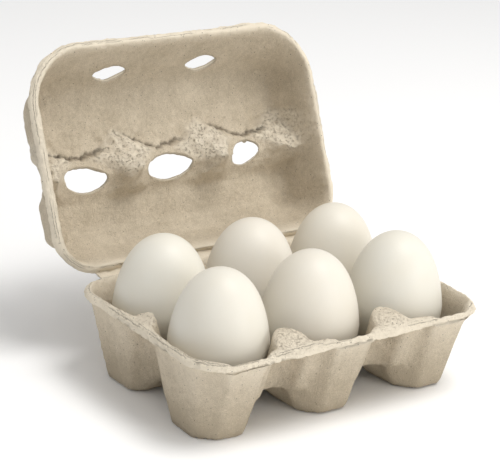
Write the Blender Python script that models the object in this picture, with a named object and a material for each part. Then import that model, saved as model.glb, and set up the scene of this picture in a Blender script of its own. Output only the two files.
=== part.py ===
"""Six-egg pulp carton, open: a tray of six cups, its hinged lid, and six loose eggs."""
import bpy
import bmesh
import math
import numpy as np

MM = 0.001

# Middle of the whole from front to back, the open lid included, from the middle of the egg rows
MIDDLE_Y = 29.36

# Tray, in mm; x runs along the carton, y from front (negative) to back, z up from the table
TRAY_LENGTH = 152.0
TRAY_FRONT = -55.97
TRAY_BACK = 53.3
RIM_HEIGHT = 40.4
RIM_RADIUS = (19.1, 18.6)
WALL = 2.3
RIM_EXTRA = 0.8
LEDGE_END = 5.0
LEDGE_FRONT = 4.2
CELL_X = 25.2
CUP_X = 53.0
CUP_Y = (-29.2, 26.4)
FLOOR_HALF = 11.4
FLOOR_ROUND = 4.0
FLOOR_DIAGONAL = 16.5
DIAGONAL_RUN = 0.47
STEEP_RUN = 0.45
GENTLE_RUN = 1.0
STEEP_FROM = (-8.0, -4.6)
SADDLE = 14.5
KICK_UP = 4.6
KICK_RADIUS = 9.0

# Posts standing where four cells meet, and the half posts let into the rim
POST_TOP = 48.6
POST_TIP = 4.2
POST_TAPER = 0.25
SIDE_POST_RADIUS = (10.8, 8.9)
HUMP_IN = (11.5, 9.2)
END_POST_RADIUS = 6.4
HUMP_RISE = (3.2, 0.5)
END_HUMP_RISE = 2.8

# Lid, measured from its hinge edge (along) and from its rim plane (deep)
LID_LENGTH = 156.0
LID_WIDTH = 103.65
LID_RADIUS = (19.6, 29.0)
LID_DEPTH = 28.0
LID_LEDGE = (3.6, 4.2, 5.0)
LID_RUN = (17.5, 15.7, 6.0)
PEAK_X = 23.3
RIDGE_AT = 44.0
RIDGE_SADDLE = 20.5
RIDGE_PEAK = 9.5
RIDGE_FRONT_RUN = 13.5
RIDGE_BACK_RUN = 12.5
WINDOWS = ((-45.7, 42.4, 11.5, 6.0), (0.0, 42.9, 12.5, 6.3), (42.4, 43.8, 8.4, 5.3))
SLOT_X = 25.3
SLOT_DEEP = 18.5
SLOT_HALF = (8.7, 4.6)

# Hinge: the axis, the lid's hinge edge when open, and how far the lid stands open
AXIS_Y = 51.06
AXIS_Z = 38.50
EDGE_Y = 54.18
EDGE_Z = 39.93
OPEN_DEG = 113.51

# Eggs: x, y, widest radius, top height; all are widest at the same height
EGG_WIDEST = 35.3
EGG_BOTTOM = 8.0
EGGS = {
    "egg_front_left": (-47.0, -22.1, 21.4, 66.7),
    "egg_front_middle": (0.0, -22.0, 21.6, 66.7),
    "egg_front_right": (46.6, -22.0, 21.6, 67.6),
    "egg_back_left": (-46.6, 21.9, 21.6, 66.7),
    "egg_back_middle": (0.0, 21.9, 21.4, 66.7),
    "egg_back_right": (45.6, 21.7, 20.9, 66.9),
}

PULP = (0.60, 0.52, 0.40, 1.0)
SHELL = (0.86, 0.84, 0.80, 1.0)


def clear_scene():
    for item in list(bpy.data.objects):
        bpy.data.objects.remove(item, do_unlink=True)


def material(name, colour, roughness):
    """A plain Principled material of one colour."""
    mat = bpy.data.materials.new(name)
    mat.use_nodes = True
    shader = mat.node_tree.nodes["Principled BSDF"]
    shader.inputs["Base Color"].default_value = colour
    shader.inputs["Roughness"].default_value = roughness
    return mat


def smooth_max(a, b, soft):
    """The larger of two heights, the crossing rounded over."""
    mix = np.clip(0.5 + 0.5 * (a - b) / soft, 0.0, 1.0)
    return b + (a - b) * mix + soft * mix * (1.0 - mix)


def smooth_min(a, b, soft):
    return -smooth_max(-a, -b, soft)


def inset(x, y, length, front, back, radii):
    """How far a point lies inside a rounded rectangle, and how square on to its long sides."""
    low = y < (front + back) / 2
    radius = np.where(low, radii[0], radii[1])
    end = length / 2 - np.abs(x)
    edge = np.where(low, y - front, back - y)
    corner_x = radius - end
    corner_y = radius - edge
    reach = np.hypot(corner_x, corner_y) + 1e-9
    cornered = (corner_x > 0) & (corner_y > 0)
    inward = np.where(cornered, radius - reach, np.minimum(end, edge))
    share = np.where(cornered, (corner_y / reach) ** 2, np.where(edge < end, 1.0, 0.0))
    return inward, share


def rising(value, low, high):
    """0 below low, 1 above high, rising smoothly between them."""
    share = np.clip((value - low) / (high - low), 0.0, 1.0)
    return share * share * (3.0 - 2.0 * share)


def cup_bowl(x, y, column, row):
    """Inside of one cup: an eight-sided foot, its walls steep towards the rim and gentler inwards."""
    middle = column * CUP_X
    outward = (CUP_Y[row] - y) if row == 0 else (y - CUP_Y[row])
    endward = (x - middle) * column
    top = RIM_HEIGHT - WALL + 1.0
    rim = -TRAY_FRONT if row == 0 else TRAY_BACK
    end_run = (TRAY_LENGTH / 2 - LEDGE_END - CUP_X - FLOOR_HALF) / top
    rim_run = (rim - LEDGE_FRONT - abs(CUP_Y[row]) - FLOOR_HALF) / top
    side_run = GENTLE_RUN + (STEEP_RUN - GENTLE_RUN) * rising(outward, STEEP_FROM[row], STEEP_FROM[row] + 10.0)
    inner_run = GENTLE_RUN + (STEEP_RUN - GENTLE_RUN) * rising(endward, 6.0, 14.0)
    run_x = np.where(endward > 0.0, end_run, side_run)
    run_y = np.where(outward > 0.0, rim_run, inner_run)
    across = np.maximum(np.abs(x - middle) - FLOOR_HALF + FLOOR_ROUND, 0.0)
    along = np.maximum(np.abs(y - CUP_Y[row]) - FLOOR_HALF + FLOOR_ROUND, 0.0)
    height = np.maximum(np.maximum((across - FLOOR_ROUND) / run_x, (along - FLOOR_ROUND) / run_y), 0.0)
    for _ in range(7):
        half_x = FLOOR_ROUND + height * run_x
        half_y = FLOOR_ROUND + height * run_y
        part_x = (across / half_x) ** 2
        part_y = (along / half_y) ** 2
        fall = 2.0 * (part_x * run_x / half_x + part_y * run_y / half_y) + 1e-9
        height = np.maximum(height + (part_x + part_y - 1.0) / fall, 0.0)
    diagonal = (np.abs(x - middle) + outward - FLOOR_DIAGONAL) / DIAGONAL_RUN
    height = np.maximum(smooth_max(height, diagonal, 1.5 + 0.25 * height), 0.0)
    return WALL + np.sqrt(height * height + 4.0) - 2.4


def cone(x, y, centre_x, centre_y, radius, taper, squash=1.0):
    """A straight-sided cone, as wide as the given radius a little above the rim."""
    away = np.hypot((x - centre_x) * squash, y - centre_y)
    return RIM_HEIGHT + 5.6 - (away - radius) / taper


def post(x, y, centre_x):
    """A hollow tapering post where four cells meet, round at the tip and straight-sided below."""
    away = np.hypot(x - centre_x, y)
    lean = math.atan(POST_TAPER)
    turn = POST_TIP * math.cos(lean)
    cap = POST_TOP - POST_TIP + np.sqrt(np.clip(POST_TIP * POST_TIP - away * away, 0.0, None))
    side = POST_TOP - POST_TIP + POST_TIP * math.sin(lean) - (away - turn) / POST_TAPER
    return np.where(away < turn, cap, side)


def tray_height(x, y):
    """Height of the tray's upper surface over the point (x, y)."""
    x = np.asarray(x, float)
    y = np.asarray(y, float)
    cups = [cup_bowl(x, y, column, row) for column in (-1, 0, 1) for row in (0, 1)]
    surface = cups[0]
    for cup in cups[1:]:
        surface = smooth_min(surface, cup, 3.0)
    inward, _ = inset(x, y, TRAY_LENGTH, TRAY_FRONT, TRAY_BACK, RIM_RADIUS)
    basin = RIM_HEIGHT + 10.0 - 3.0 * (inward - LEDGE_FRONT)
    surface = smooth_min(surface, smooth_max(basin, SADDLE, 3.0), 5.0)
    ledge = np.full_like(surface, RIM_HEIGHT)
    for side in (-1, 1):
        for row, edge, step in ((0, TRAY_FRONT + 4.5, 1.0), (1, TRAY_BACK - 4.0, -1.0)):
            wall = cone(x, y, side * CELL_X - 1.0, edge, SIDE_POST_RADIUS[row], 0.27, 1.3)
            surface = smooth_max(surface, wall, 3.0)
            hump_y = edge + step * HUMP_IN[row]
            off_x = x - side * CELL_X + 1.8
            hump = np.exp(-np.abs(off_x / 8.0) ** 3 - np.abs((y - hump_y) / 5.5) ** 3)
            ledge = ledge + HUMP_RISE[row] * hump
        edge = side * (TRAY_LENGTH / 2 - 4.0)
        wall = cone(x, y, edge, 0.0, END_POST_RADIUS, 0.24)
        surface = smooth_max(surface, wall, 3.0)
        hump_x = edge - side * (END_POST_RADIUS + 0.4)
        hump = np.exp(-((x - hump_x) / 3.6) ** 2 - (y / 6.5) ** 2)
        ledge = ledge + END_HUMP_RISE * hump
    surface = smooth_min(surface, ledge, 7.0)
    for side in (-1, 1):
        surface = smooth_max(surface, post(x, y, side * CELL_X), 4.0)
    for column in (-1, 0, 1):
        for row in (0, 1):
            away = np.hypot(x - column * (CUP_X - 1.5), y - CUP_Y[row] * 0.93)
            surface = surface + KICK_UP * np.clip(1.0 - (away / KICK_RADIUS) ** 2, 0.0, None) ** 2
    return surface


def lid_depth(x, along):
    """Depth of the lid's inner surface below its rim plane."""
    x = np.asarray(x, float)
    along = np.asarray(along, float)
    near = along > LID_WIDTH / 2
    front = LID_WIDTH - LID_LEDGE[1]
    radii = (LID_RADIUS[0] - LID_LEDGE[0], LID_RADIUS[1] - LID_LEDGE[1])
    inward, share = inset(x, along, LID_LENGTH - 2 * LID_LEDGE[2], LID_LEDGE[0], front, radii)
    run = LID_RUN[2] + (np.where(near, LID_RUN[1], LID_RUN[0]) - LID_RUN[2]) * share
    slope = inward / run
    bowed = np.where(slope > 0.0, 1.0 - np.clip(1.0 - slope, 0.0, 1.0) ** 2.6, 2.6 * slope)
    bowed = bowed + np.maximum(slope - 0.8, 0.0)
    curved = bowed * share + slope * (1.0 - share)
    wall = LID_DEPTH * np.where(near, slope, curved)
    dish = smooth_min(wall, LID_DEPTH, 7.0)
    peaks = np.zeros_like(dish)
    for at, wide, tall in ((-PEAK_X, 9.0, 1.0), (PEAK_X, 9.0, 1.0), (-66.0, 11.0, 0.8), (66.0, 11.0, 0.8)):
        peaks = peaks + tall * np.exp(-(np.abs(x - at) / wide) ** 2.4)
    crest = RIDGE_SADDLE - (RIDGE_SADDLE - RIDGE_PEAK) * peaks
    front = np.maximum(along - RIDGE_AT, 0.0) / (RIDGE_FRONT_RUN + 5.0 * peaks)
    back = np.maximum(RIDGE_AT - along, 0.0) / RIDGE_BACK_RUN
    lean = np.sqrt((front + back) ** 2 + 0.09) - 0.3
    ridge = crest + 1.35 * (LID_DEPTH - crest + 1.0) * lean
    return smooth_max(smooth_min(dish, ridge, 3.0), 0.0, 5.0)


def rounded(x, y, length, front, back, radii):
    """Bend a rectangle's points so that its corners, and the lines inside them, run as arcs."""
    low = y < (front + back) / 2
    radius = np.where(low, radii[0], radii[1])
    centre_x = np.sign(x) * (length / 2 - radius)
    centre_y = np.where(low, front + radius, back - radius)
    away_x = x - centre_x
    away_y = y - centre_y
    beyond = (np.sign(x) * away_x > 0) & (np.where(low, -away_y, away_y) > 0)
    reach = np.maximum(np.abs(away_x), np.abs(away_y)) / (np.hypot(away_x, away_y) + 1e-12)
    new_x = np.where(beyond, centre_x + away_x * reach, x)
    new_y = np.where(beyond, centre_y + away_y * reach, y)
    return new_x, new_y


def bend_cost(x, y, z):
    """A running total along a fine line of how far it goes and how much it bends."""
    path = np.stack([x, y, z], axis=1)
    step = np.diff(path, axis=0)
    length = np.linalg.norm(step, axis=1)
    unit = step / (length[:, None] + 1e-9)
    turn = np.zeros(len(length))
    turn[1:] = np.arccos(np.clip((unit[1:] * unit[:-1]).sum(axis=1), -1.0, 1.0))
    cost = length / length.sum() + 0.9 * turn / (turn.sum() + 0.6)
    return np.concatenate([[0.0], np.cumsum(cost)])


def spread(total, count):
    """Pick count + 1 places between 0 and 1, closer together where the running total climbs."""
    return np.interp(np.linspace(0.0, total[-1], count + 1), total, np.linspace(0.0, 1.0, len(total)))


def line_points(start, end, outline, height, count):
    """Points along one side of a cell, following the rounded outline."""
    fine = np.linspace(0.0, 1.0, 241)
    x = start[0] + (end[0] - start[0]) * fine
    y = start[1] + (end[1] - start[1]) * fine
    x, y = outline(x, y)
    picked = spread(bend_cost(x, y, height(x, y)), count)
    return np.interp(picked, fine, x), np.interp(picked, fine, y)


def cell_outline(xs, ys, i, j, outline, height, counts):
    """The closed ring of points round one cell, counter-clockwise."""
    corners = [(xs[i], ys[j]), (xs[i + 1], ys[j]), (xs[i + 1], ys[j + 1]), (xs[i], ys[j + 1])]
    bottom = line_points(corners[0], corners[1], outline, height, counts[0])
    right = line_points(corners[1], corners[2], outline, height, counts[1])
    top = line_points(corners[3], corners[2], outline, height, counts[0])
    left = line_points(corners[0], corners[3], outline, height, counts[1])
    x = np.concatenate([bottom[0][:-1], right[0][:-1], top[0][:0:-1], left[0][:0:-1]])
    y = np.concatenate([bottom[1][:-1], right[1][:-1], top[1][:0:-1], left[1][:0:-1]])
    return x, y


def cell_points(xs, ys, centres, outline, height, counts, rings):
    """Points and faces of one moulded surface, cell by cell, each cell as rings round its middle."""
    points = []
    index = {}
    faces = []

    def add(x, y):
        key = (round(float(x), 4), round(float(y), 4))
        if key not in index:
            index[key] = len(points)
            points.append((float(x), float(y)))
        return index[key]

    fine = np.linspace(0.0, 1.0, 161)
    for i in range(len(xs) - 1):
        for j in range(len(ys) - 1):
            edge_x, edge_y = cell_outline(xs, ys, i, j, outline, height, counts)
            middle_x, middle_y = centres[i][j]
            loops = []
            for end_x, end_y in zip(edge_x, edge_y):
                ray_x = middle_x + (end_x - middle_x) * fine
                ray_y = middle_y + (end_y - middle_y) * fine
                picked = spread(bend_cost(ray_x, ray_y, height(ray_x, ray_y)), rings)
                run_x = middle_x + (end_x - middle_x) * picked[:-1]
                run_y = middle_y + (end_y - middle_y) * picked[:-1]
                loops.append([add(*at) for at in zip(run_x, run_y)] + [add(end_x, end_y)])
            for a, b in zip(loops, loops[1:] + loops[:1]):
                faces.append((a[0], a[1], b[1]))
                for k in range(1, rings):
                    faces.append((a[k], a[k + 1], b[k + 1], b[k]))
    return np.array(points), faces


def grid_points(length, front, back, radii, height, counts):
    """Points and faces of one moulded surface on lines drawn closer together where it bends."""
    fine = np.linspace(0.0, 1.0, 401)
    x = (fine - 0.5) * length
    y = front + (back - front) * fine
    across = sum(bend_cost(x, x * 0 + at, height(x, x * 0 + at)) for at in (RIDGE_AT, back * 0.7))
    along = sum(bend_cost(y * 0 + at, y, height(y * 0 + at, y)) for at in (PEAK_X, 0.0))
    line_x = (spread(across, counts[0]) - 0.5) * length
    line_y = front + (back - front) * spread(along, counts[1])
    grid_x, grid_y = np.meshgrid(line_x, line_y)
    flat = np.stack(rounded(grid_x.ravel(), grid_y.ravel(), length, front, back, radii), axis=1)
    faces = []
    for row in range(counts[1]):
        for column in range(counts[0]):
            first = row * (counts[0] + 1) + column
            faces.append((first, first + 1, first + counts[0] + 2, first + counts[0] + 1))
    return flat, faces


def moulded_sheet(flat, faces, height, inward, side):
    """Close a moulded surface into a sheet with its wall behind; side is +1 or -1 for the back."""
    thickness = WALL + RIM_EXTRA * np.exp(-(inward / 5.0) ** 2)
    x = flat[:, 0]
    y = flat[:, 1]
    z = height(x, y)
    tilt_x = (height(x + 1.5, y) - height(x - 1.5, y)) / 3.0
    tilt_y = (height(x, y + 1.5) - height(x, y - 1.5)) / 3.0
    edges = {}
    for face in faces:
        for a, b in zip(face, face[1:] + face[:1]):
            edges[(a, b)] = True
    rim = [(a, b) for a, b in edges if (b, a) not in edges]
    keep = np.clip(inward / 5.5, 0.0, 1.0)
    normal = np.stack([-tilt_x * keep, -tilt_y * keep, np.ones_like(x)], axis=1)
    normal = normal / np.linalg.norm(normal, axis=1)[:, None]
    front = np.stack([x, y, z], axis=1)
    back = front + side * thickness[:, None] * normal
    total = len(front)
    walls = [(b, a, a + total, b + total) for a, b in rim]
    under = [tuple(k + total for k in reversed(face)) for face in faces]
    return np.concatenate([front, back]), faces + under + walls


def add_object(name, points, faces, mat, origin=(0.0, 0.0, 0.0), smooth=True):
    """Make one object in metres, its origin at the given point in mm, all set about the middle."""
    mesh = bpy.data.meshes.new(name)
    shifted = (np.asarray(points) - np.asarray(origin)) * MM
    mesh.from_pydata([tuple(p) for p in shifted.tolist()], [], faces)
    work = bmesh.new()
    work.from_mesh(mesh)
    bmesh.ops.recalc_face_normals(work, faces=work.faces)
    work.to_mesh(mesh)
    work.free()
    mesh.materials.append(mat)
    for polygon in mesh.polygons:
        polygon.use_smooth = smooth
    item = bpy.data.objects.new(name, mesh)
    item.location = (origin[0] * MM, (origin[1] - MIDDLE_Y) * MM, origin[2] * MM)
    bpy.context.scene.collection.objects.link(item)
    return item


def build_tray(mat):
    xs = (-TRAY_LENGTH / 2, -CELL_X, CELL_X, TRAY_LENGTH / 2)
    ys = (TRAY_FRONT, 0.0, TRAY_BACK)
    centres = [[(column * (CUP_X - 1.5), CUP_Y[row] * 0.93) for row in (0, 1)] for column in (-1, 0, 1)]

    def outline(x, y):
        return rounded(x, y, TRAY_LENGTH, TRAY_FRONT, TRAY_BACK, RIM_RADIUS)

    flat, faces = cell_points(xs, ys, centres, outline, tray_height, (8, 8), 6)
    inward, share = inset(flat[:, 0], flat[:, 1], TRAY_LENGTH, TRAY_FRONT, TRAY_BACK, RIM_RADIUS)
    points, faces = moulded_sheet(flat, faces, tray_height, inward, -1.0)
    points[:, 2] = np.where(points[:, 2] < 0.4, 0.0, points[:, 2])
    return add_object("tray", points, faces, mat)


def open_lid(points):
    """Turn points given as (x, along, deep) to where they stand on the open lid."""
    turn = math.radians(OPEN_DEG)
    x = points[:, 0]
    y = EDGE_Y - points[:, 1] * math.cos(turn) + points[:, 2] * math.sin(turn)
    z = EDGE_Z + points[:, 1] * math.sin(turn) + points[:, 2] * math.cos(turn)
    return np.stack([x, y, z], axis=1)


def lens(half_wide, half_tall, steps):
    """An eye-shaped outline, pointed at its two ends."""
    angle = np.linspace(0.0, 2.0 * math.pi, steps, endpoint=False)
    return half_wide * np.cos(angle), half_tall * np.sin(angle) * (0.62 + 0.38 * np.abs(np.sin(angle)))


def prism(first, last):
    """Faces of a closed prism between two matching loops of points."""
    count = len(first)
    points = np.concatenate([first, last])
    faces = [tuple(range(count)), tuple(range(2 * count - 1, count - 1, -1))]
    for k in range(count):
        after = (k + 1) % count
        faces.append((k, k + count, after + count, after))
    return points, faces


def window_cutter(name, x, along, half_wide, half_tall, mat):
    wide, tall = lens(half_wide, half_tall, 14)
    near = np.stack([x + wide, along + tall, np.full_like(wide, 2.0)], axis=1)
    far = np.stack([x + wide, along + tall, np.full_like(wide, 40.0)], axis=1)
    points, faces = prism(near, far)
    return add_object(name, open_lid(points), faces, mat, smooth=False)


def slot_cutter(name, x, mat):
    wide, tall = lens(SLOT_HALF[0], SLOT_HALF[1], 12)
    near = np.stack([x + wide, np.full_like(wide, 80.0), SLOT_DEEP + tall + 2.0], axis=1)
    far = np.stack([x + wide, np.full_like(wide, 104.0), SLOT_DEEP + tall - 2.0], axis=1)
    points, faces = prism(near, far)
    return add_object(name, open_lid(points), faces, mat, smooth=False)


def cut(body, cutter):
    cutter.hide_render = True
    cutter.display_type = "WIRE"
    modifier = body.modifiers.new(cutter.name, "BOOLEAN")
    modifier.operation = "DIFFERENCE"
    modifier.solver = "EXACT"
    modifier.object = cutter


def build_lid(mat):
    """The lid: two long domes with a dented ridge between them, three windows and two slots."""
    flat, faces = grid_points(LID_LENGTH, 0.0, LID_WIDTH, LID_RADIUS, lid_depth, (34, 24))
    inward, share = inset(flat[:, 0], flat[:, 1], LID_LENGTH, 0.0, LID_WIDTH, LID_RADIUS)
    points, faces = moulded_sheet(flat, faces, lid_depth, inward, 1.0)
    item = add_object("lid", open_lid(points), faces, mat, origin=(0.0, AXIS_Y, AXIS_Z))
    for number, window in enumerate(WINDOWS):
        cut(item, window_cutter(f"window_cutter_{number}", *window, mat))
    for number, x in enumerate((-SLOT_X, SLOT_X)):
        cut(item, slot_cutter(f"slot_cutter_{number}", x, mat))
    return item


def build_egg(name, x, y, radius, top, mat):
    """One egg, blunt end down, made of rings about its upright axis."""
    around = 14
    rings = 9
    points = [(x, y, EGG_BOTTOM)]
    for k in range(1, rings):
        angle = math.pi * k / rings
        half = top - EGG_WIDEST if angle > math.pi / 2 else EGG_WIDEST - EGG_BOTTOM
        z = EGG_WIDEST - half * math.cos(angle)
        ring = radius * math.sin(angle)
        for step in range(around):
            turn = 2.0 * math.pi * step / around
            points.append((x + ring * math.cos(turn), y + ring * math.sin(turn), z))
    points.append((x, y, top))
    faces = []
    last = len(points) - 1
    for step in range(around):
        after = (step + 1) % around
        faces.append((0, 1 + after, 1 + step))
        for k in range(rings - 2):
            low = 1 + k * around
            high = low + around
            faces.append((low + step, low + after, high + after, high + step))
        high = 1 + (rings - 2) * around
        faces.append((high + step, high + after, last))
    return add_object(name, points, faces, mat)


def main():
    clear_scene()
    build_tray(material("tray_pulp", PULP, 0.95))
    build_lid(material("lid_pulp", PULP, 0.95))
    for name, sizes in EGGS.items():
        build_egg(name, *sizes, material(name + "_shell", SHELL, 0.45))


main()
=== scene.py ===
"""An open six-cup carton of moulded paper pulp, its lid standing up behind, with six white eggs in it."""
import bpy
import bmesh
import math
import numpy as np
from mathutils import Matrix, Vector, noise


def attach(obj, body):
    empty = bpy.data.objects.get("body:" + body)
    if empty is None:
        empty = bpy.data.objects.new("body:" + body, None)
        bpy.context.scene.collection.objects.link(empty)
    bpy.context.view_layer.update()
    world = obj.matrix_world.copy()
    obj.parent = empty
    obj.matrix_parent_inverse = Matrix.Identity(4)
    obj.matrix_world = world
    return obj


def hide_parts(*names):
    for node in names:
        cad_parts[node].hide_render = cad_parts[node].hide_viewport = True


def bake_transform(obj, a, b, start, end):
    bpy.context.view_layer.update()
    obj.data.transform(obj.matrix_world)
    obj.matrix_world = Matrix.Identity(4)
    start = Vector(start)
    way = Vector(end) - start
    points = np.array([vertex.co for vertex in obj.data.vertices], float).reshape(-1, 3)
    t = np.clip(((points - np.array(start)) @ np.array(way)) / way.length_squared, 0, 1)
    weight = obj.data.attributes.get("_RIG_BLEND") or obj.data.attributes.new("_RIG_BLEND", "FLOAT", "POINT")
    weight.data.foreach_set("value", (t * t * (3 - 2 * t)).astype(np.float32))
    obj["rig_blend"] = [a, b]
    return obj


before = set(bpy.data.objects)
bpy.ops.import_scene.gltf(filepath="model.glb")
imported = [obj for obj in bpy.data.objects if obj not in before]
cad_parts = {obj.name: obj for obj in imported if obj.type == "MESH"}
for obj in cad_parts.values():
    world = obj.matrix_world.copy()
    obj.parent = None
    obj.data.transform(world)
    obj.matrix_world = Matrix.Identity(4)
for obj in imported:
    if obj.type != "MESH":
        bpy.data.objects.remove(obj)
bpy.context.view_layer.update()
MM = 0.001

# ---------------------------------------------------------------------------------------------
# Tray. One sheet of wet paper pulp sucked onto a wire form and dried: six eight-sided cups, a
# post where four cups meet, half posts let into the rim, and a thick rolled lip. Sizes are in
# mm; x runs along the carton, y from front to back, z up from the table.
TRAY_LENGTH = 152.0
TRAY_FRONT = -85.33
TRAY_BACK = 23.94
TRAY_MIDDLE = -29.36
RIM_HEIGHT = 40.35
RIM_RADIUS = (19.1, 18.6)
WALL = 2.3
LEAN_STEP = 1.5
LEAN_EASE = (0.5, 6.5)
LIP_THICK = 5.2
LIP_REACH = 4.5
LIP_ROLL = 3.6
LIP_UNDER_ROLL = 0.35
LEDGE_END = 5.0
LEDGE_FRONT = 4.2
CELL_X = 25.2
CUP_X = 53.0
CUP_Y = (-29.2, 26.4)
FLOOR_HALF = 11.4
FLOOR_ROUND = 3.0
FLOOR_DIAGONAL = 16.5
FOOT_ROUND = 2.0
FOOT_SUNK = 2.4
DIAGONAL_RUN = 0.36
STEEP_RUN = 0.45
GENTLE_RUN = 1.0
STEEP_FROM = (-8.0, -4.6)
STEEP_EASE = 10.0
INNER_STEEP = (6.0, 14.0)
CUP_STEPS = 7
SADDLE = 14.5
BASIN_OVER = 10.0
BASIN_SLOPE = 3.0
SEAT_X = 51.5
SEAT_DRAWN_IN = 0.93
SEAT_RISE = 4.6
SEAT_RADIUS = 9.0
POST_OVER = 5.6
POST_TOP = 48.4
POST_TIP = 4.2
POST_TAPER = 0.25
SIDE_POST_EDGE = (4.5, 4.0)
SIDE_POST_RADIUS = (12.5, 10.2)
SIDE_POST_TAPER = 0.20
SIDE_POST_SQUASH = 1.45
END_POST_EDGE = 4.0
END_POST_RADIUS = 6.4
END_POST_TAPER = 0.24
HUMP_IN = (10.6, 8.6)
HUMP_HALF = 9.0
HUMP_RISE = (2.9, 0.3)
HUMP_LEFT = {-1: 3.4, 1: 1.8}
END_HUMP_IN = 0.4
END_HUMP_HALF = (3.8, 6.5)
END_HUMP_RISE = 2.8
LEDGE_SOFT = 8.0
LEDGE_SHARPER = 4.5
# Painted light: how much paler the tray's tops above the rim are coloured, and how far below the rim it
# starts and fades.
PAINTED_LIGHT_SHARE = 0.6
PAINTED_LIGHT_BELOW = 3.5
PAINTED_LIGHT_FADE = 4.0
TRAY_CELL = 0.8
EDGE_CROWDING = 0.75
EDGE_CROWD_REACH = 3.0
PULP_LUMPS = ((22.0, 0.5), (5.5, 0.35), (1.9, 0.24))
PULP_SINK = 0.38
LIP_ROUGHER = 0.8
LIP_ROUGH_REACH = 3.5
GRAIN_SEED = 4.7


def softer_max(a, b, soft):
    """The larger of two heights, the crossing rounded over."""
    share = np.clip(0.5 + 0.5 * (a - b) / soft, 0.0, 1.0)
    return b + (a - b) * share + soft * share * (1.0 - share)


def softer_min(a, b, soft):
    """The smaller of two heights, the crossing rounded over."""
    return -softer_max(-a, -b, soft)


def inside_edge(x, y, length, front, back, radii):
    """How far in from a rounded outline a point lies, and how square on it is to the long sides."""
    low = y < (front + back) / 2
    radius = np.where(low, radii[0], radii[1])
    end = length / 2 - np.abs(x)
    side = np.where(low, y - front, back - y)
    corner_x = radius - end
    corner_y = radius - side
    reach = np.hypot(corner_x, corner_y) + 1e-9
    cornered = (corner_x > 0) & (corner_y > 0)
    inward = np.where(cornered, radius - reach, np.minimum(end, side))
    share = np.where(cornered, (corner_y / reach) ** 2, np.where(side < end, 1.0, 0.0))
    return inward, share


def rising(value, low, high):
    """0 below low, 1 above high, rising smoothly between them."""
    share = np.clip((value - low) / (high - low), 0.0, 1.0)
    return share * share * (3.0 - 2.0 * share)


def cup_inside(x, y, column, row):
    """Inside of one cup: an eight-sided foot, its walls steep towards the rim and gentler inwards."""
    middle = column * CUP_X
    outward = (CUP_Y[row] - y) if row == 0 else (y - CUP_Y[row])
    endward = (x - middle) * column
    top = RIM_HEIGHT - WALL + 1.0
    rim = TRAY_MIDDLE - TRAY_FRONT if row == 0 else TRAY_BACK - TRAY_MIDDLE
    end_run = (TRAY_LENGTH / 2 - LEDGE_END - CUP_X - FLOOR_HALF) / top
    rim_run = (rim - LEDGE_FRONT - abs(CUP_Y[row]) - FLOOR_HALF) / top
    rimward = rising(outward, STEEP_FROM[row], STEEP_FROM[row] + STEEP_EASE)
    side_run = GENTLE_RUN + (STEEP_RUN - GENTLE_RUN) * rimward
    inner_run = GENTLE_RUN + (STEEP_RUN - GENTLE_RUN) * rising(endward, *INNER_STEEP)
    run_x = np.where(endward > 0.0, end_run, side_run)
    run_y = np.where(outward > 0.0, rim_run, inner_run)
    across = np.maximum(np.abs(x - middle) - FLOOR_HALF + FLOOR_ROUND, 0.0)
    along = np.maximum(np.abs(y - CUP_Y[row]) - FLOOR_HALF + FLOOR_ROUND, 0.0)
    height = np.maximum(np.maximum((across - FLOOR_ROUND) / run_x, (along - FLOOR_ROUND) / run_y), 0.0)
    # Newton's method, to the height at which the cup's rounded outline has grown to the point.
    for _ in range(CUP_STEPS):
        half_x = FLOOR_ROUND + height * run_x
        half_y = FLOOR_ROUND + height * run_y
        part_x = (across / half_x) ** 2
        part_y = (along / half_y) ** 2
        fall = 2.0 * (part_x * run_x / half_x + part_y * run_y / half_y) + 1e-9
        height = np.maximum(height + (part_x + part_y - 1.0) / fall, 0.0)
    diagonal = (np.abs(x - middle) + outward - FLOOR_DIAGONAL) / DIAGONAL_RUN
    height = np.maximum(softer_max(height, diagonal, 0.5 + 0.05 * height), 0.0)
    return WALL + np.sqrt(height * height + FOOT_ROUND ** 2) - FOOT_SUNK


def cone(x, y, centre_x, centre_y, radius, taper, squash=1.0):
    """A straight-sided cone, as wide as the given radius a little above the rim."""
    away = np.hypot((x - centre_x) * squash, y - centre_y)
    return RIM_HEIGHT + POST_OVER - (away - radius) / taper


def middle_post(x, y, centre_x):
    """The post where four cups meet, round at its tip and straight-sided below."""
    away = np.hypot(x - centre_x, y)
    lean = math.atan(POST_TAPER)
    turn = POST_TIP * math.cos(lean)
    cap = POST_TOP - POST_TIP + np.sqrt(np.clip(POST_TIP * POST_TIP - away * away, 0.0, None))
    side = POST_TOP - POST_TIP + POST_TIP * math.sin(lean) - (away - turn) / POST_TAPER
    return np.where(away < turn, cap, side)


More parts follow.
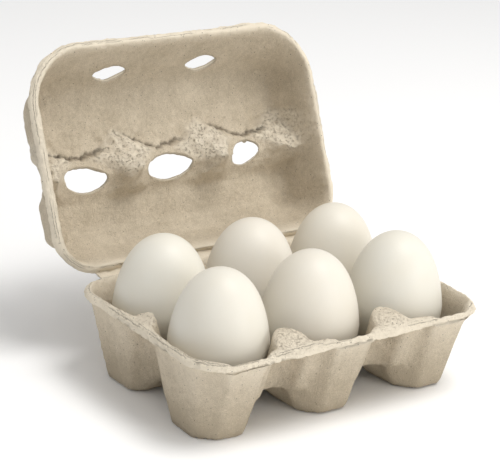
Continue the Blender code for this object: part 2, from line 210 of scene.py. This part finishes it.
def tray_top(x, world_y):
    """Height of the tray's upper surface."""
    y = world_y - TRAY_MIDDLE
    surface = cup_inside(x, y, -1, 0)
    for column in (-1, 0, 1):
        for row in (0, 1):
            surface = softer_min(surface, cup_inside(x, y, column, row), 3.0)
    front = TRAY_FRONT - TRAY_MIDDLE
    back = TRAY_BACK - TRAY_MIDDLE
    inward, _ = inside_edge(x, y, TRAY_LENGTH, front, back, RIM_RADIUS)
    basin = RIM_HEIGHT + BASIN_OVER - BASIN_SLOPE * (inward - LEDGE_FRONT)
    surface = softer_min(surface, softer_max(basin, SADDLE, 3.0), 7.0)
    ledge = np.full_like(surface, RIM_HEIGHT)
    humps = np.zeros_like(surface)
    edges = ((0, front + SIDE_POST_EDGE[0], 1.0), (1, back - SIDE_POST_EDGE[1], -1.0))
    for side in (-1, 1):
        for row, edge, step in edges:
            post_x = side * CELL_X - HUMP_LEFT[side]
            wall = cone(x, y, post_x, edge, SIDE_POST_RADIUS[row], SIDE_POST_TAPER, SIDE_POST_SQUASH)
            surface = softer_max(surface, wall, 3.0)
            hump_y = edge + step * HUMP_IN[row]
            off_x = x - side * CELL_X + HUMP_LEFT[side]
            hump = np.exp(-np.abs(off_x / HUMP_HALF) ** 3 - np.abs((y - hump_y) / HUMP_HALF) ** 3)
            ledge = ledge + HUMP_RISE[row] * hump
            humps = humps + hump
        edge = side * (TRAY_LENGTH / 2 - END_POST_EDGE)
        surface = softer_max(surface, cone(x, y, edge, 0.0, END_POST_RADIUS, END_POST_TAPER), 3.0)
        hump_x = edge - side * (END_POST_RADIUS + END_HUMP_IN)
        hump = np.exp(-((x - hump_x) / END_HUMP_HALF[0]) ** 2 - (y / END_HUMP_HALF[1]) ** 2)
        ledge = ledge + END_HUMP_RISE * hump
    surface = softer_min(surface, ledge, LEDGE_SOFT - LEDGE_SHARPER * humps)
    for side in (-1, 1):
        surface = softer_max(surface, middle_post(x, y, side * CELL_X), 4.0)
    for column in (-1, 0, 1):
        for row in (0, 1):
            away = np.hypot(x - column * SEAT_X, y - CUP_Y[row] * SEAT_DRAWN_IN)
            surface = surface + SEAT_RISE * np.clip(1.0 - (away / SEAT_RADIUS) ** 2, 0.0, None) ** 2
    return surface


def flat_sheet(length, front, back, radii, cell):
    """A flat net of square cells with rounded corners, its lines drawn closer together at the edge."""
    sheet = bmesh.new()
    columns = round(length / cell)
    rows = round((back - front) / cell)
    bmesh.ops.create_grid(sheet, x_segments=columns, y_segments=rows, size=1.0)
    spot = np.array([v.co[:] for v in sheet.verts])
    place = sheet.verts.layers.int.new("place")
    for number, vertex in enumerate(sheet.verts):
        vertex[place] = number
    middle = (front + back) / 2
    half = np.array([length / 2, (back - front) / 2])
    in_x, in_y = (half * (1.0 - np.abs(spot[:, :2]))).T
    in_x = in_x * (1.0 - EDGE_CROWDING * np.exp(-in_x / EDGE_CROWD_REACH))
    in_y = in_y * (1.0 - EDGE_CROWDING * np.exp(-in_y / EDGE_CROWD_REACH))
    x = np.sign(spot[:, 0]) * (half[0] - in_x)
    y = middle + np.sign(spot[:, 1]) * (half[1] - in_y)
    low = y < middle
    radius = np.where(low, radii[0], radii[1])
    centre_x = np.sign(x) * (length / 2 - radius)
    centre_y = np.where(low, front + radius, back - radius)
    away_x = x - centre_x
    away_y = y - centre_y
    beyond = (np.sign(x) * away_x > 0) & (np.where(low, -away_y, away_y) > 0)
    reach = np.maximum(np.abs(away_x), np.abs(away_y)) / (np.hypot(away_x, away_y) + 1e-12)
    x = np.where(beyond, centre_x + away_x * reach, x)
    y = np.where(beyond, centre_y + away_y * reach, y)
    return sheet, x, y


def press_sheet(sheet, x, y, top, inward, side):
    """Press the flat net to its form, give it its wall behind, and roll its lip round."""
    z = top(x, y)
    lean_x = (top(x + LEAN_STEP, y) - top(x - LEAN_STEP, y)) / (2.0 * LEAN_STEP)
    lean_y = (top(x, y + LEAN_STEP) - top(x, y - LEAN_STEP)) / (2.0 * LEAN_STEP)
    ease = rising(inward, *LEAN_EASE)
    way = np.stack([-lean_x * ease, -lean_y * ease, np.ones_like(x)], axis=1)
    way = way / np.linalg.norm(way, axis=1)[:, None]
    thick = WALL + (LIP_THICK - WALL) * np.exp(-(inward / LIP_REACH) ** 2)
    short = np.clip(LIP_ROLL - inward, 0.0, None)
    roll = LIP_ROLL - np.sqrt(np.clip(LIP_ROLL ** 2 - short ** 2, 0.0, None))
    place = sheet.verts.layers.int["place"]
    edge = sheet.verts.layers.float.new("edge")
    front = np.stack([x, y, z + side * roll], axis=1)
    back = np.stack([x, y, z], axis=1) + side * thick[:, None] * way
    back[:, 2] = back[:, 2] - side * roll * LIP_UNDER_ROLL
    grown = bmesh.ops.extrude_face_region(sheet, geom=sheet.faces[:], use_keep_orig=True)
    behind = {item for item in grown["geom"] if isinstance(item, bmesh.types.BMVert)}
    for vertex in sheet.verts:
        number = vertex[place]
        vertex.co = back[number] if vertex in behind else front[number]
        vertex[edge] = -inward[number] if vertex in behind else inward[number]
    bmesh.ops.recalc_face_normals(sheet, faces=sheet.faces)
    if sheet.calc_volume(signed=True) < 0:
        bmesh.ops.reverse_faces(sheet, faces=sheet.faces)


def roughen(sheet, lumps, seed):
    """Push the pulp in and out the way it dries, most at its lip; each lump is a length and a height."""
    sheet.normal_update()
    edge = sheet.verts.layers.float["edge"]
    moves = []
    for vertex in sheet.verts:
        push = -sum(height for length, height in lumps) * PULP_SINK
        for length, height in lumps:
            push += height * noise.noise(vertex.co / length + Vector((seed, seed * 2.3, length)))
        at_lip = math.exp(-(vertex[edge] / LIP_ROUGH_REACH) ** 2)
        moves.append(vertex.normal * push * (1.0 + LIP_ROUGHER * at_lip))
    for vertex, move in zip(sheet.verts, moves):
        vertex.co += move


def finish_piece(name, sheet, material):
    """Hand the shape over as a smooth piece in metres, with its place in its mesh."""
    bmesh.ops.scale(sheet, vec=(MM, MM, MM), verts=sheet.verts)
    mesh = bpy.data.meshes.new(name)
    sheet.to_mesh(mesh)
    sheet.free()
    mesh.materials.append(material)
    for polygon in mesh.polygons:
        polygon.use_smooth = True
    piece = bpy.data.objects.new(name, mesh)
    bpy.context.scene.collection.objects.link(piece)
    return piece


class Layer:
    """A socket in a finish that can be added, scaled and mixed like a number."""

    def __init__(self, tree, socket=None):
        self.tree = tree
        self.socket = socket

    def node(self, kind, settings=(), inputs=(), output=0):
        """Add a node: its settings first, then the values and links of its sockets."""
        made = self.tree.nodes.new(kind)
        for name, value in dict(settings).items():
            setattr(made, name, value)
        for name, value in dict(inputs).items():
            if isinstance(value, Layer):
                self.tree.links.new(value.socket, made.inputs[name])
            else:
                made.inputs[name].default_value = value
        return Layer(self.tree, made.outputs[output])

    def sum(self, operation, first, second=0.0):
        """Two values put together by the named operation."""
        return self.node("ShaderNodeMath", {"operation": operation}, {0: first, 1: second})

    def __add__(self, other):
        return self.sum("ADD", self, other)

    __radd__ = __add__

    def __sub__(self, other):
        return self.sum("SUBTRACT", self, other)

    def __rsub__(self, other):
        return self.sum("SUBTRACT", other, self)

    def __mul__(self, other):
        return self.sum("MULTIPLY", self, other)

    __rmul__ = __mul__

    def between(self, low, high):
        """0 below low, 1 above high, rising smoothly."""
        inputs = {"Value": self, "From Min": low, "From Max": high}
        return self.node("ShaderNodeMapRange", {"interpolation_type": "SMOOTHSTEP"}, inputs)

    def near(self, value, width):
        """1 at the given value, falling to 0 a width away on either side."""
        away = self.sum("ABSOLUTE", self - value)
        return 1.0 - away.between(width * 0.35, width)

    def tint(self, other, amount):
        """This colour turned towards another by the amount."""
        inputs = {0: amount, 6: self, 7: other}
        return self.node("ShaderNodeMix", {"data_type": "RGBA", "clamp_factor": True}, inputs, 2)

    def noise(self, place, scale, detail, roughness=0.55):
        """Soft random clouds, finer as the scale grows."""
        inputs = {"Vector": place, "Scale": scale, "Detail": detail, "Roughness": roughness}
        return self.node("ShaderNodeTexNoise", {}, inputs)

    def stretched(self, place, way, turn):
        """The place turned and pulled out, for marks that are longer than they are wide."""
        inputs = {"Vector": place, "Rotation": turn, "Scale": way}
        return self.node("ShaderNodeMapping", {"vector_type": "TEXTURE"}, inputs)


PULP_LIGHT = (0.91, 0.80, 0.635, 1.0)
PULP_DEEP = (0.56, 0.475, 0.35, 1.0)
# Dark colour of print flecks and split lines; also the painted shade in the crease grooves.
PULP_FLECK_AND_PAINTED_SHADE = (0.16, 0.12, 0.08, 1.0)
# Painted light: the paler colour given to the lip and the crests, as where light falls on them.
PULP_PAINTED_LIGHT = (1.0, 0.90, 0.73, 1.0)
FLECKS = ((2.6, 0.10, (0.2, 0.4, 0.9)), (1.7, 0.085, (1.3, 0.7, 0.1)))


def pulp_finish(name, seed, level):
    """Dried paper pulp: mottled beige, felted with fibres, flecked with bits of old print; painted light
    makes the lip and crests paler, painted shade darkens the creases and the bottom.
    """
    material = bpy.data.materials.new(name)
    material.use_nodes = True
    shader = material.node_tree.nodes["Principled BSDF"]
    tree = material.node_tree
    start = Layer(tree)
    place = start.node("ShaderNodeTexCoord", output=3)
    shift = {0: place, 1: (1000.0, 1000.0, 1000.0), 2: (seed, seed, seed)}
    place = start.node("ShaderNodeVectorMath", {"operation": "MULTIPLY_ADD"}, shift)
    edge = start.node("ShaderNodeAttribute", {"attribute_name": "edge"}, output=2)
    crest = start.node("ShaderNodeAttribute", {"attribute_name": "crest"}, output=2)
    crease_shade = start.node("ShaderNodeAttribute", {"attribute_name": "crease_shade"}, output=2)

    clouds = start.noise(place, 0.07, 3.0)
    patches = start.noise(place, 0.4, 3.0)
    grain = start.noise(place, 2.2, 4.0, 0.75)
    felt_a = start.noise(start.stretched(place, (2.6, 0.35, 0.4), (0.3, 0.5, 0.7)), 1.0, 3.0, 0.6)
    felt_b = start.noise(start.stretched(place, (0.35, 2.6, 0.4), (1.1, 0.2, 0.4)), 1.0, 3.0, 0.6)
    tone = level + (clouds - 0.5) * 0.8 + (patches - 0.5) * 0.6 + (grain - 0.5) * 1.9
    tone = tone + (felt_a - 0.5) * 0.5 + (felt_b - 0.5) * 0.5

    # Painted shade: the pulp is coloured darker towards the bottom, below about 36 mm and darkest near the
    # table, where the cups' low sides get less light.
    height = start.node("ShaderNodeSeparateXYZ", {}, {0: place}, 2)
    tone = tone - (1.0 - height.between(5.0, 36.0)) * 0.62

    flecks = None
    for number, (size, reach, turn) in enumerate(FLECKS):
        pulled = start.stretched(place, (2.4, 0.8, 0.8), turn)
        inputs = {"Vector": pulled, "Scale": 1.0 / size, "Randomness": 1.0}
        spots = start.node("ShaderNodeTexVoronoi", {"feature": "F1"}, inputs)
        some = start.noise(place, 0.5 + 0.3 * number, 1.0).between(0.42, 0.56)
        spot = (1.0 - spots.between(reach * 0.6, reach * 1.5)) * some
        flecks = spot if flecks is None else start.sum("MAXIMUM", flecks, spot)

    # Painted light: the rolled lip is marked to be coloured paler, as the rim's top catching the light.
    painted_lit_lip = 1.0 - start.sum("ABSOLUTE", edge).between(2.0, 8.0)
    wander = (start.noise(place, 0.45, 3.0, 0.7) - 0.5) * 1.6
    breaks = start.noise(place, 0.045, 3.0, 0.6).between(0.47, 0.55)
    ply = (edge + wander).near(1.3, 0.28) * breaks
    second = (edge + wander * 1.3).near(2.4, 0.24) * start.noise(place, 0.06, 3.0, 0.6).between(0.48, 0.56)
    split = start.sum("MAXIMUM", ply, second)

    mixed = {0: tone, 6: PULP_DEEP, 7: PULP_LIGHT}
    colour = start.node("ShaderNodeMix", {"data_type": "RGBA", "clamp_factor": True}, mixed, 2)
    # Painted light: the rolled lip turned paler, as lit.
    colour = colour.tint(PULP_PAINTED_LIGHT, painted_lit_lip * 0.9)
    # Painted light: the marked crests turned paler, as lit.
    colour = colour.tint(PULP_PAINTED_LIGHT, crest * 0.95)
    crumbs = start.noise(place, 0.9, 3.0, 0.8).between(0.53, 0.66) * crest
    colour = colour.tint(PULP_DEEP, crumbs * 0.8)
    # Painted shade: the crease grooves are darkened, as the shade that falls in them.
    colour = colour.tint(PULP_FLECK_AND_PAINTED_SHADE, crease_shade * 0.75)
    colour = colour.tint(PULP_FLECK_AND_PAINTED_SHADE, flecks * 0.7)
    colour = colour.tint(PULP_FLECK_AND_PAINTED_SHADE, split * 0.35)
    tree.links.new(colour.socket, shader.inputs["Base Color"])

    relief = grain * 0.9 + felt_a * 0.5 + felt_b * 0.5 + patches * 1.0 - split * 0.9 - flecks * 0.2
    relief = relief + start.noise(place, 0.55, 4.0, 0.75) * crest * 0.6 - crumbs * 1.4
    bump = start.node("ShaderNodeBump", {}, {"Strength": 1.0, "Distance": 0.0009, "Height": relief})
    tree.links.new(bump.socket, shader.inputs["Normal"])
    rough = 0.9 + (grain - 0.5) * 0.15
    tree.links.new(rough.socket, shader.inputs["Roughness"])
    shader.inputs["Specular IOR Level"].default_value = 0.2
    return material


pulp = pulp_finish("tray pulp", 3.0, 0.60)
sheet, x, y = flat_sheet(TRAY_LENGTH, TRAY_FRONT, TRAY_BACK, RIM_RADIUS, TRAY_CELL)
inward, _ = inside_edge(x, y, TRAY_LENGTH, TRAY_FRONT, TRAY_BACK, RIM_RADIUS)
press_sheet(sheet, x, y, tray_top, inward, -1.0)
roughen(sheet, PULP_LUMPS, GRAIN_SEED)
for vertex in sheet.verts:
    vertex.co.z = max(vertex.co.z, 0.0)
    vertex.co.y = max(vertex.co.y, TRAY_FRONT)
# Painted light: the humps and posts that stand above the rim are marked to be coloured paler, as lit tops.
crest = sheet.verts.layers.float.new("crest")
for vertex in sheet.verts:
    lifted = (vertex.co.z - RIM_HEIGHT + PAINTED_LIGHT_BELOW) / PAINTED_LIGHT_FADE
    vertex[crest] = PAINTED_LIGHT_SHARE * min(max(lifted, 0.0), 1.0)
tray = finish_piece("pulp_tray", sheet, pulp)
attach(tray, "tray")
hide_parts("tray")

# ---------------------------------------------------------------------------------------------
# Lid. The other half of the same pressing: two long domes with a dented ridge between them
# that reaches down among the eggs, three eye-shaped windows and two latch slots punched through.
# It is drawn as it lies, x along the carton, then turned up to where it stands open.
LID_LENGTH = 156.0
LID_WIDTH = 103.65
LID_RADIUS = (19.6, 29.0)
LID_DEPTH = 27.4
LID_LEDGE = (3.8, 4.4, 5.0)
LID_RUN = (17.5, 15.7, 6.0)
DOME_BOW = 2.6
DOME_SOFT = 7.0
PEAK_POWER = 2.4
PEAKS = ((-22.8, 9.5, 1.0), (22.3, 9.5, 1.0), (-66.0, 10.0, 0.8), (66.0, 11.0, 0.8))
RIDGE_AT = 44.0
RIDGE_SADDLE = 20.5
RIDGE_PEAK = 9.5
RIDGE_FRONT_RUN = 13.5
RIDGE_BACK_RUN = 12.5
RIDGE_PEAK_RUN = 5.0
RIDGE_ROUND = 0.015
RIDGE_DROP = 1.15
CRUMPLES = ((3.2, 7.5, 2.1), (2.2, 2.8, 7.4))
CRUMPLE_FOLDS = (4.0, 6.0, 5.2)
CRUMPLE_SINK = 0.8
# Painted light and crumbs: the diamond over each ridge peak that is coloured paler, as its lit face, and
# crumbled.
LIT_AND_CRUMBLED_AT = 51.5
LIT_AND_CRUMBLED_HALF = (17.5, 13.5)
CREASE_AT = 51.8
CREASE_HALF = 17.0
CREASE_DEEP = 1.8
CREASE_LIP = 2.4
CREASES = ((-46.0, 0.24, 0.20), (-3.7, 0.52, 0.18), (44.0, 0.50, 0.12))
WINDOWS = ((-45.2, 42.4, 11.4, 6.2), (0.6, 42.9, 12.2, 6.5), (43.4, 44.0, 8.2, 5.5))
WINDOW_TURN = (-0.16, 0.0, 0.35)
WINDOW_POINT = 1.9
SLOT_X = 25.3
SLOT_DEEP = 18.5
SLOT_HALF = (8.7, 4.6)
SLOT_POINT = 1.5
FRONT_WALL_FROM = 80.0
FAR_OUTSIDE = 9.0
DRAW_TO_EDGE = 1.8
HINGE_EDGE = (24.82, 39.93)
OPEN_TURN = math.radians(113.51)
LID_CELL = 0.72


def wrinkles(x, y, length, seed):
    """Noise over the flat sheet, drawn out to the given length."""
    return np.array([noise.noise(Vector((a / length, b / length, seed))) for a, b in zip(x, y)])


def creases(x, along):
    """Torn creases running down from each peak to over a window: a groove and the lip under it."""
    groove = np.zeros_like(x)
    lip = np.zeros_like(x)
    for valley, left, right in CREASES:
        line = CREASE_AT + left * np.maximum(valley - x, 0.0) + right * np.maximum(x - valley, 0.0)
        past = line + 0.5 * np.sin(x * 0.9) + 0.35 * np.sin(x * 2.3) - along
        there = rising(CREASE_HALF - np.abs(x - valley), 0.0, 4.0)
        groove = groove + there * np.exp(-((past + 0.8) / 0.62) ** 2)
        edge_of_lip = 1.0 + np.exp(-np.clip(past, -9.0, 9.0) / 0.2)
        lip = lip + there * np.exp(-np.clip(past, 0.0, None) / 7.0) / edge_of_lip
    return groove, lip


def ridge_peaks(x):
    """1 at the tallest peaks of the ridge, 0 in the dips between them."""
    return sum(tall * np.exp(-(np.abs(x - at) / wide) ** PEAK_POWER) for at, wide, tall in PEAKS)


def lens_inside(off_x, off_y, half, point):
    """Below 1 inside an eye-shaped opening, 1 on its edge; its ends are round at 2, pointed at 1."""
    return np.abs(off_x / half[0]) ** point + np.abs(off_y / half[1]) ** point


def calm_near_windows(x, along):
    """0 close round the windows, where the punch pressed the ridge flat, 1 away from them."""
    calm = np.ones_like(x)
    for at, row, half_x, half_y in WINDOWS:
        level = lens_inside(x - at, along - row, (half_x, half_y), 2.0)
        calm = np.minimum(calm, rising(level, 0.8, 3.2))
    return calm


def lid_form(x, along):
    """Depth of the lid's inner surface below its rim, before it crumples."""
    near = along > LID_WIDTH / 2
    front = LID_WIDTH - LID_LEDGE[1]
    radii = (LID_RADIUS[0] - LID_LEDGE[0], LID_RADIUS[1] - LID_LEDGE[1])
    inward, share = inside_edge(x, along, LID_LENGTH - 2 * LID_LEDGE[2], LID_LEDGE[0], front, radii)
    run = LID_RUN[2] + (np.where(near, LID_RUN[1], LID_RUN[0]) - LID_RUN[2]) * share
    slope = inward / run
    domed = 1.0 - np.clip(1.0 - slope, 0.0, 1.0) ** DOME_BOW
    bowed = np.where(slope > 0.0, domed, DOME_BOW * slope)
    bowed = bowed + np.maximum(slope - 0.8, 0.0)
    curved = bowed * share + slope * (1.0 - share)
    dish = softer_min(LID_DEPTH * np.where(near, slope, curved), LID_DEPTH, DOME_SOFT)
    calm = calm_near_windows(x, along)
    peaks = calm * ridge_peaks(x)
    crest = RIDGE_SADDLE - (RIDGE_SADDLE - RIDGE_PEAK) * peaks
    ahead = np.maximum(along - RIDGE_AT, 0.0) / (RIDGE_FRONT_RUN + RIDGE_PEAK_RUN * peaks)
    behind = np.maximum(RIDGE_AT - along, 0.0) / RIDGE_BACK_RUN
    lean = np.sqrt((ahead + behind) ** 2 + RIDGE_ROUND) - math.sqrt(RIDGE_ROUND)
    ridge = crest + RIDGE_DROP * (LID_DEPTH - crest + 1.0) * lean
    dish = softer_min(dish, ridge, 1.5)
    groove, lip = creases(x, along)
    dish = dish + CREASE_DEEP * groove - CREASE_LIP * lip * calm
    return softer_max(dish, 0.0, 3.0)


def lid_inside(x, along):
    """The lid's inner surface with the ridge crumpled, most of all on its peaks."""
    form = lid_form(x, along)
    there = np.exp(-(np.abs(along - RIDGE_AT - 6.0) / 14.0) ** 4) * (0.25 + 0.75 * ridge_peaks(x))
    inward, _ = inside_edge(x, along, LID_LENGTH, 0.0, LID_WIDTH, LID_RADIUS)
    there = there * rising(inward, 4.0, 12.0) * calm_near_windows(x, along)
    rough = sum(height * wrinkles(x, along, length, seed) for height, length, seed in CRUMPLES)
    height, length, seed = CRUMPLE_FOLDS
    rough = rough + height * np.abs(wrinkles(x, along, length, seed)) - CRUMPLE_SINK
    return form + there * rough


# Painted shade: the lid is the same pulp as the tray, given a lower tone level so that it is coloured
# darker.
pulp_lid = pulp_finish("lid pulp", 41.0, 0.38)
sheet, x, along = flat_sheet(LID_LENGTH, 0.0, LID_WIDTH, LID_RADIUS, LID_CELL)
inward, _ = inside_edge(x, along, LID_LENGTH, 0.0, LID_WIDTH, LID_RADIUS)
place = sheet.verts.layers.int["place"]
depth = lid_form(x, along)
openings = []
for (at, row, half_x, half_y), turn in zip(WINDOWS, WINDOW_TURN):
    off_x = (x - at) * math.cos(turn) + (along - row) * math.sin(turn)
    off_y = (along - row) * math.cos(turn) - (x - at) * math.sin(turn)
    level = lens_inside(off_x, off_y, (half_x, half_y), WINDOW_POINT)
    openings.append((level, at, np.full_like(x, row), WINDOW_POINT))
for at in (-SLOT_X, SLOT_X):
    level = lens_inside(x - at, depth - SLOT_DEEP, SLOT_HALF, SLOT_POINT)
    level = np.where(along > FRONT_WALL_FROM, level, FAR_OUTSIDE)
    openings.append((level, at, along + (depth - SLOT_DEEP) * LID_RUN[1] / LID_DEPTH, SLOT_POINT))
gone = []
for face in sheet.faces:
    corners = [vertex[place] for vertex in face.verts]
    if min(np.mean(opening[0][corners]) for opening in openings) < 1.0:
        gone.append(face)
bmesh.ops.delete(sheet, geom=gone, context="FACES")
for vertex in sheet.verts:
    number = vertex[place]
    level, at, row, point = min(openings, key=lambda opening: opening[0][number])
    if vertex.is_boundary and level[number] < DRAW_TO_EDGE:
        inwards = level[number] ** (-1.0 / point)
        x[number] = at + (x[number] - at) * inwards
        along[number] = row[number] + (along[number] - row[number]) * inwards
press_sheet(sheet, x, along, lid_inside, inward, 1.0)
groove, lip = creases(x, along)
# Painted light: a diamond over each peak of the ridge is marked to be coloured paler, as its lit face; the
# same mark carries the crumbs.
crest = np.zeros_like(x)
for at, wide, tall in PEAKS:
    diamond = np.abs(x - at) / LIT_AND_CRUMBLED_HALF[0] + np.abs(along - LIT_AND_CRUMBLED_AT) / LIT_AND_CRUMBLED_HALF[1]
    crest = np.maximum(crest, tall * (1.0 - rising(diamond, 0.75, 1.1)) * rising(inward, 4.0, 10.0))
lit_crest_mark = sheet.verts.layers.float.new("crest")
# Painted shade: the crease grooves are marked to be coloured dark, as the shade that falls in them.
crease_shade_mark = sheet.verts.layers.float.new("crease_shade")
for vertex in sheet.verts:
    vertex[lit_crest_mark] = crest[vertex[place]]
    vertex[crease_shade_mark] = groove[vertex[place]]
roughen(sheet, PULP_LUMPS, GRAIN_SEED + 3.0)
along_way = (-math.cos(OPEN_TURN), math.sin(OPEN_TURN))
deep_way = (math.sin(OPEN_TURN), math.cos(OPEN_TURN))
turned = Matrix(((1.0, 0.0, 0.0), (0.0, *along_way), (0.0, *deep_way)))
bmesh.ops.transform(sheet, matrix=turned.to_4x4(), verts=sheet.verts)
bmesh.ops.translate(sheet, vec=(0.0, HINGE_EDGE[0], HINGE_EDGE[1]), verts=sheet.verts)
bmesh.ops.recalc_face_normals(sheet, faces=sheet.faces)
lid = finish_piece("pulp_lid", sheet, pulp_lid)
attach(lid, "lid")
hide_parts("lid")

# ---------------------------------------------------------------------------------------------
# Hinge fold. The tray and the lid are one pulp pressing: between their back lips runs a thinner
# web, pressed flat so that it folds. It bends as the lid turns about the axis beside it.
FOLD_HALF = 60.5
FOLD_BOW = 2.0
FOLD_LINE = ((21.6, 38.4), (23.2, 38.3), (24.8, 38.4), (26.6, 39.1), (28.0, 40.7))
FOLD_THICK = 1.7
FOLD_MARK = 3.2
FOLD_LUMPS = ((6.0, 0.4), (2.0, 0.25))

fold = bmesh.new()
bmesh.ops.create_grid(fold, x_segments=150, y_segments=8, size=1.0)
edge = fold.verts.layers.float.new("edge")
for vertex in fold.verts:
    across = (vertex.co.y + 1.0) / 2.0 * (len(FOLD_LINE) - 1)
    way_y = np.interp(across, range(len(FOLD_LINE)), [spot[0] for spot in FOLD_LINE])
    way_z = np.interp(across, range(len(FOLD_LINE)), [spot[1] for spot in FOLD_LINE])
    half = FOLD_HALF - FOLD_BOW * (1.0 - vertex.co.y ** 2)
    vertex.co = (vertex.co.x * half, way_y, way_z)
    vertex[edge] = FOLD_MARK
grown = bmesh.ops.extrude_face_region(fold, geom=fold.faces[:], use_keep_orig=True)
below = [item for item in grown["geom"] if isinstance(item, bmesh.types.BMVert)]
bmesh.ops.translate(fold, vec=(0.0, 0.0, -FOLD_THICK), verts=below)
bmesh.ops.recalc_face_normals(fold, faces=fold.faces)
roughen(fold, FOLD_LUMPS, GRAIN_SEED + 6.0)
web = finish_piece("hinge_fold", fold, pulp_finish("fold pulp", 77.0, 0.5))
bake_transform(web, "tray", "lid", start=(0.0, 0.0232, 0.0385), end=(0.0, 0.0264, 0.0385))

# ---------------------------------------------------------------------------------------------
# Eggs. Six hen's eggs, blunt end down on the raised seats, white and matt, no two quite alike.
# Each is spun about its upright axis from one outline: widest below the middle, narrow on top.
EGG_WIDEST = 35.3
EGG_BOTTOM = 8.0
EGG_SLIMMER = 0.035
SHELL_WARMER = (0.985, 0.95, 0.895)
EGGS = {
    "egg_front_left": (-47.0, -51.46, 21.4, 66.7, (0.744, 0.724, 0.659, 1.0)),
    "egg_front_middle": (0.0, -51.36, 21.6, 66.7, (0.744, 0.715, 0.646, 1.0)),
    "egg_front_right": (46.6, -51.36, 21.6, 67.6, (0.744, 0.728, 0.663, 1.0)),
    "egg_back_left": (-46.6, -7.46, 21.6, 66.7, (0.744, 0.728, 0.663, 1.0)),
    "egg_back_middle": (0.0, -7.46, 21.4, 66.7, (0.744, 0.715, 0.651, 1.0)),
    "egg_back_right": (45.6, -7.66, 20.9, 66.9, (0.744, 0.715, 0.642, 1.0)),
}


def shell_finish(name, colour, seed):
    """Eggshell: chalky white with faint warm clouding and a skin of fine pores."""
    material = bpy.data.materials.new(name)
    material.use_nodes = True
    shader = material.node_tree.nodes["Principled BSDF"]
    tree = material.node_tree
    start = Layer(tree)
    place = start.node("ShaderNodeTexCoord", output=3)
    shift = {0: place, 1: (1000.0, 1000.0, 1000.0), 2: (seed, seed, seed)}
    place = start.node("ShaderNodeVectorMath", {"operation": "MULTIPLY_ADD"}, shift)
    clouds = start.noise(place, 0.06, 3.0)
    pores = start.noise(place, 2.2, 2.0)
    warm = tuple(part * shade for part, shade in zip(colour[:3], SHELL_WARMER)) + (1.0,)
    clouded = {0: clouds, 6: colour, 7: warm}
    mixed = start.node("ShaderNodeMix", {"data_type": "RGBA", "clamp_factor": True}, clouded, 2)
    tree.links.new(mixed.socket, shader.inputs["Base Color"])
    skin = {"Strength": 0.5, "Distance": 0.00004, "Height": pores + clouds * 2.0}
    bump = start.node("ShaderNodeBump", {}, skin)
    tree.links.new(bump.socket, shader.inputs["Normal"])
    rough = 0.46 + (pores - 0.5) * 0.12
    tree.links.new(rough.socket, shader.inputs["Roughness"])
    shader.inputs["Specular IOR Level"].default_value = 0.35
    return material


for number, (node, (at_x, at_y, radius, top, colour)) in enumerate(EGGS.items()):
    egg = bmesh.new()
    bmesh.ops.create_uvsphere(egg, u_segments=72, v_segments=48, radius=1.0)
    for vertex in egg.verts:
        up = vertex.co.z
        tall = top - EGG_WIDEST if up > 0 else EGG_WIDEST - EGG_BOTTOM
        upper = max(up, 0.0)
        full = radius * (1.0 - EGG_SLIMMER * upper * (1.0 - upper) * 4.0)
        vertex.co = (at_x + vertex.co.x * full, at_y + vertex.co.y * full, EGG_WIDEST + up * tall)
    chalk = shell_finish(node.replace("_", " ") + " shell", colour, number * 9.1)
    shell = finish_piece("shell_of_" + node, egg, chalk)
    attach(shell, "tray")
    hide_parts(node)

# ---------------------------------------------------------------------------------------------
# Studio. A pale floor and a white room. One soft lamp hangs overhead and a weaker one stands
# low in front, a little to the right. The camera looks from the front left.
FLOOR_REACH = 3000.0
FLOOR_DROP = 0.05
ROOM_LIGHT = 0.59
LAMP_AIM = (0.0, 0.0, 0.05)
KEY_SPOT = (0.24, -0.32, 1.14)
SIDE_SPOT = (0.46, -1.18, 0.26)
CAMERA_LENS = 133.14
CAMERA_AIM = (-0.0181, -0.02936, 0.07137)
CAMERA_AWAY = 0.78648


def soft_lamp(name, place, size, power, colour):
    """Hang up a square lamp that shines on the carton."""
    lamp = bpy.data.lights.new(name, "AREA")
    lamp.size = size
    lamp.energy = power
    lamp.color = colour
    item = bpy.data.objects.new(name, lamp)
    item.location = place
    item.rotation_euler = (Vector(LAMP_AIM) - Vector(place)).to_track_quat("-Z", "Y").to_euler()
    bpy.context.scene.collection.objects.link(item)


floor = bmesh.new()
bmesh.ops.create_grid(floor, x_segments=1, y_segments=1, size=FLOOR_REACH)
bmesh.ops.translate(floor, vec=(0.0, 0.0, -FLOOR_DROP), verts=floor.verts)
pale = bpy.data.materials.new("pale floor")
pale.use_nodes = True
pale.node_tree.nodes["Principled BSDF"].inputs["Base Color"].default_value = (0.98, 0.98, 0.98, 1.0)
pale.node_tree.nodes["Principled BSDF"].inputs["Roughness"].default_value = 0.9
finish_piece("floor", floor, pale)
world = bpy.data.worlds.new("white room")
world.use_nodes = True
world.node_tree.nodes["Background"].inputs["Color"].default_value = (1.0, 1.0, 1.0, 1.0)
world.node_tree.nodes["Background"].inputs["Strength"].default_value = ROOM_LIGHT
bpy.context.scene.world = world
soft_lamp("key", KEY_SPOT, 0.6, 9.2, (1.0, 0.985, 0.96))
soft_lamp("side", SIDE_SPOT, 0.5, 3.8, (1.0, 0.985, 0.955))
bpy.context.scene.view_settings.view_transform = "Standard"

camera = bpy.data.cameras.new("camera")
camera.sensor_width = 36.0
camera.lens = CAMERA_LENS
camera.clip_start = 0.05
stand = bpy.data.objects.new("camera", camera)
bpy.context.scene.collection.objects.link(stand)
swing = math.radians(-36.32)
rise = math.radians(19.80)
roll = math.radians(3.57)
back = Vector((math.sin(swing) * math.cos(rise), -math.cos(swing) * math.cos(rise), math.sin(rise)))
right = Vector((math.cos(swing), math.sin(swing), 0.0))
right = right * math.cos(roll) + right.cross(-back) * math.sin(roll)
above = right.cross(-back)
spot = Vector(CAMERA_AIM) + back * CAMERA_AWAY
stand.matrix_world = Matrix.Translation(spot) @ Matrix((right, above, back)).transposed().to_4x4()
bpy.context.scene.camera = stand
